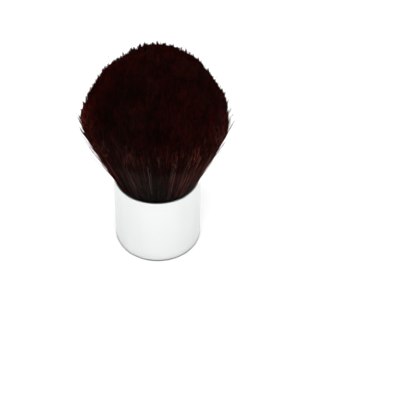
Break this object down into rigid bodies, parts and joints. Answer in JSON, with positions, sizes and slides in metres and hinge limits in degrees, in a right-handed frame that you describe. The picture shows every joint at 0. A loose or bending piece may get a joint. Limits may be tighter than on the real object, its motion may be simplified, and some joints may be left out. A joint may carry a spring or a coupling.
{
  "type": "kabuki makeup brush",
  "caption": "Short kabuki makeup brush with a polished round metal handle that stands on its flat foot and a dense, flared tuft of dark hair trimmed to a dome.",
  "frame": {"origin": "centre of the flat foot, on the surface that the brush stands on", "axes": "+Z along the brush's axis, from the foot towards the crown of the hair; +X and +Y are free because the brush is round"},
  "size_m": [0.0488, 0.0488, 0.0795],
  "materials": {
    "polished_aluminium": "polished",
    "black_plastic": "moulded",
    "ballast_steel": "turned",
    "adhesive": "set hot melt",
    "resin": "cast",
    "thread": "waxed cotton",
    "hair": "natural hair"
  },
  "bodies": {
    "root": {"handle_shell": "polished_aluminium", "hair_cup": "black_plastic", "ballast_slug": "ballast_steel", "glue_bed": "adhesive", "glue_ring": "adhesive", "root_resin": "resin", "binding_thread": "thread", "hair_core": "hair", "hair_inner_locks": "hair", "hair_middle_locks": "hair", "hair_outer_locks": "hair"}
  },
  "joints": []
}
